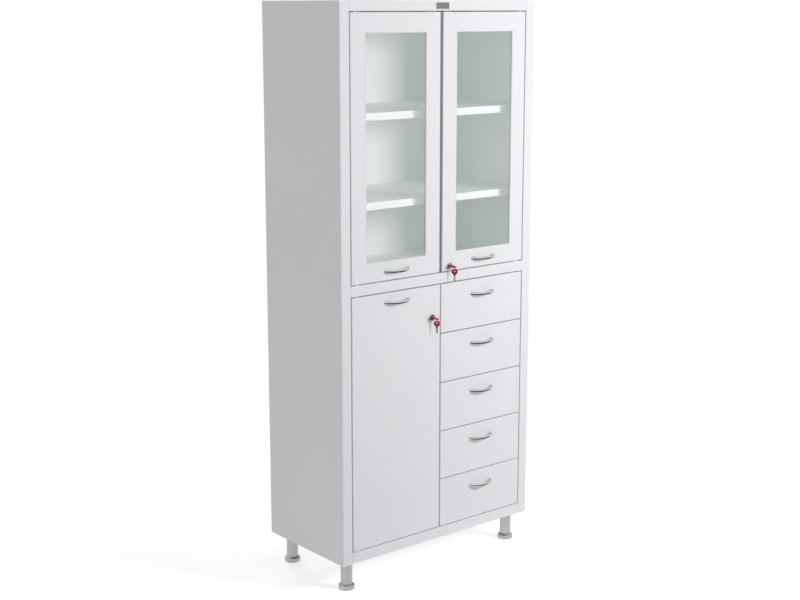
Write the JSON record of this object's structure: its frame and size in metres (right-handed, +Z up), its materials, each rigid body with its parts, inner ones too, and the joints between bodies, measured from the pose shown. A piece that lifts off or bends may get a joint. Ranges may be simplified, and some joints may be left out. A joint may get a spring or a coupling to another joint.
{
  "type": "medicine cabinet",
  "caption": "Tall white steel medicine cabinet on round legs, with glazed upper doors over a lockable plain door and a bank of drawers with bow handles.",
  "frame": {"origin": "middle of the overall footprint at floor level", "axes": "+Z up, front with doors and drawers faces -Y, +X to the right seen from the front"},
  "size_m": [0.8, 0.4292, 1.85],
  "materials": {
    "white_paint": "powder coat, satin, near white",
    "satin_metal": "satin nickel",
    "zinc_plate": "bright zinc plate",
    "lock_metal": "nickel plate",
    "red_key": "moulded red key head on a plated steel blade",
    "clear_glass": "clear float glass, faint green tint"
  },
  "bodies": {
    "carcass": {"left_side_panel": "white_paint", "right_side_panel": "white_paint", "top_panel": "white_paint", "base_pan": "white_paint", "floor_panel": "white_paint", "middle_deck": "white_paint", "back_panels": "white_paint", "centre_partition": "white_paint", "slide_uprights": "white_paint", "upper_shelves": "white_paint", "lower_shelf": "white_paint", "shelf_clips": "zinc_plate", "hinge_pins": "zinc_plate", "legs": "satin_metal", "slide_outer_members": "zinc_plate"},
    "upper_left_door": {"upper_left_door_frame": "white_paint", "upper_left_glass": "clear_glass", "upper_left_handle": "satin_metal"},
    "upper_right_door": {"upper_right_door_frame": "white_paint", "upper_right_glass": "clear_glass", "upper_right_handle": "satin_metal", "upper_lock_housing": "lock_metal"},
    "lower_door": {"lower_door_panel": "white_paint", "lower_door_handle": "satin_metal", "lower_lock_housing": "lock_metal"},
    "drawer_1": {"drawer_1_front": "white_paint", "drawer_1_tray": "white_paint", "drawer_1_handle": "satin_metal", "drawer_1_slide_inner": "zinc_plate"},
    "drawer_1_slide": {"drawer_1_slide_middle": "zinc_plate"},
    "drawer_2": {"drawer_2_front": "white_paint", "drawer_2_tray": "white_paint", "drawer_2_handle": "satin_metal", "drawer_2_slide_inner": "zinc_plate"},
    "drawer_2_slide": {"drawer_2_slide_middle": "zinc_plate"},
    "drawer_3": {"drawer_3_front": "white_paint", "drawer_3_tray": "white_paint", "drawer_3_handle": "satin_metal", "drawer_3_slide_inner": "zinc_plate"},
    "drawer_3_slide": {"drawer_3_slide_middle": "zinc_plate"},
    "drawer_4": {"drawer_4_front": "white_paint", "drawer_4_tray": "white_paint", "drawer_4_handle": "satin_metal", "drawer_4_slide_inner": "zinc_plate"},
    "drawer_4_slide": {"drawer_4_slide_middle": "zinc_plate"},
    "drawer_5": {"drawer_5_front": "white_paint", "drawer_5_tray": "white_paint", "drawer_5_handle": "satin_metal", "drawer_5_slide_inner": "zinc_plate"},
    "drawer_5_slide": {"drawer_5_slide_middle": "zinc_plate"},
    "upper_lock": {"upper_lock_barrel": "lock_metal"},
    "upper_lock_key": {"upper_key": "red_key"},
    "upper_ring_key": {"upper_spare_key": "red_key"},
    "lower_lock": {"lower_lock_barrel": "lock_metal"},
    "lower_lock_key": {"lower_key": "red_key"},
    "lower_ring_key": {"lower_spare_key": "red_key"},
    "front_left_foot_screw": {"front_left_foot": "satin_metal"},
    "front_right_foot_screw": {"front_right_foot": "satin_metal"},
    "rear_left_foot_screw": {"rear_left_foot": "satin_metal"},
    "rear_right_foot_screw": {"rear_right_foot": "satin_metal"}
  },
  "joints": [
    {"name": "upper_left_door_hinge", "type": "hinge", "parent": "carcass", "child": "upper_left_door", "pos_m": [-0.337, -0.177, 0.9975], "axis": [0, 0, -1], "range_deg": [0, 110]},
    {"name": "upper_right_door_hinge", "type": "hinge", "parent": "carcass", "child": "upper_right_door", "pos_m": [0.337, -0.177, 0.9975], "axis": [0, 0, 1], "range_deg": [0, 110]},
    {"name": "lower_door_hinge", "type": "hinge", "parent": "carcass", "child": "lower_door", "pos_m": [-0.337, -0.177, 0.139], "axis": [0, 0, -1], "range_deg": [0, 110]},
    {"name": "drawer_1_pull", "type": "slide", "parent": "carcass", "child": "drawer_1", "axis": [0, -1, 0], "range_m": [0, 0.33]},
    {"name": "drawer_1_slide_travel", "type": "slide", "parent": "carcass", "child": "drawer_1_slide", "axis": [0, -1, 0], "range_m": [0, 0.165]},
    {"name": "drawer_2_pull", "type": "slide", "parent": "carcass", "child": "drawer_2", "axis": [0, -1, 0], "range_m": [0, 0.33]},
    {"name": "drawer_2_slide_travel", "type": "slide", "parent": "carcass", "child": "drawer_2_slide", "axis": [0, -1, 0], "range_m": [0, 0.165]},
    {"name": "drawer_3_pull", "type": "slide", "parent": "carcass", "child": "drawer_3", "axis": [0, -1, 0], "range_m": [0, 0.33]},
    {"name": "drawer_3_slide_travel", "type": "slide", "parent": "carcass", "child": "drawer_3_slide", "axis": [0, -1, 0], "range_m": [0, 0.165]},
    {"name": "drawer_4_pull", "type": "slide", "parent": "carcass", "child": "drawer_4", "axis": [0, -1, 0], "range_m": [0, 0.33]},
    {"name": "drawer_4_slide_travel", "type": "slide", "parent": "carcass", "child": "drawer_4_slide", "axis": [0, -1, 0], "range_m": [0, 0.165]},
    {"name": "drawer_5_pull", "type": "slide", "parent": "carcass", "child": "drawer_5", "axis": [0, -1, 0], "range_m": [0, 0.33]},
    {"name": "drawer_5_slide_travel", "type": "slide", "parent": "carcass", "child": "drawer_5_slide", "axis": [0, -1, 0], "range_m": [0, 0.165]},
    {"name": "upper_lock_turn", "type": "hinge", "parent": "upper_right_door", "child": "upper_lock", "pos_m": [0.037, -0.186, 1.0135], "axis": [0, 1, 0], "range_deg": [0, 90]},
    {"name": "upper_key_pull", "type": "slide", "parent": "upper_lock", "child": "upper_lock_key", "axis": [0, -1, 0], "range_m": [0, 0.03]},
    {"name": "upper_ring_swing", "type": "hinge", "parent": "upper_lock_key", "child": "upper_ring_key", "pos_m": [0.037, -0.2055, 1.0135], "axis": [-0.5, 0, -0.866], "range_deg": [-8, 45]},
    {"name": "lower_lock_turn", "type": "hinge", "parent": "lower_door", "child": "lower_lock", "pos_m": [-0.037, -0.186, 0.8535], "axis": [0, 1, 0], "range_deg": [0, 90]},
    {"name": "lower_key_pull", "type": "slide", "parent": "lower_lock", "child": "lower_lock_key", "axis": [0, -1, 0], "range_m": [0, 0.03]},
    {"name": "lower_ring_swing", "type": "hinge", "parent": "lower_lock_key", "child": "lower_ring_key", "pos_m": [-0.037, -0.2055, 0.8535], "axis": [-0.5, 0, -0.866], "range_deg": [-8, 45]},
    {"name": "front_left_levelling", "type": "slide", "parent": "carcass", "child": "front_left_foot_screw", "axis": [0, 0, -1], "range_m": [0, 0.015]},
    {"name": "front_right_levelling", "type": "slide", "parent": "carcass", "child": "front_right_foot_screw", "axis": [0, 0, -1], "range_m": [0, 0.015]},
    {"name": "rear_left_levelling", "type": "slide", "parent": "carcass", "child": "rear_left_foot_screw", "axis": [0, 0, -1], "range_m": [0, 0.015]},
    {"name": "rear_right_levelling", "type": "slide", "parent": "carcass", "child": "rear_right_foot_screw", "axis": [0, 0, -1], "range_m": [0, 0.015]}
  ],
  "couplings": [
    {"joint": "drawer_1_slide_travel", "follows": "drawer_1_pull", "ratio": 0.5},
    {"joint": "drawer_2_slide_travel", "follows": "drawer_2_pull", "ratio": 0.5},
    {"joint": "drawer_3_slide_travel", "follows": "drawer_3_pull", "ratio": 0.5},
    {"joint": "drawer_4_slide_travel", "follows": "drawer_4_pull", "ratio": 0.5},
    {"joint": "drawer_5_slide_travel", "follows": "drawer_5_pull", "ratio": 0.5}
  ]
}
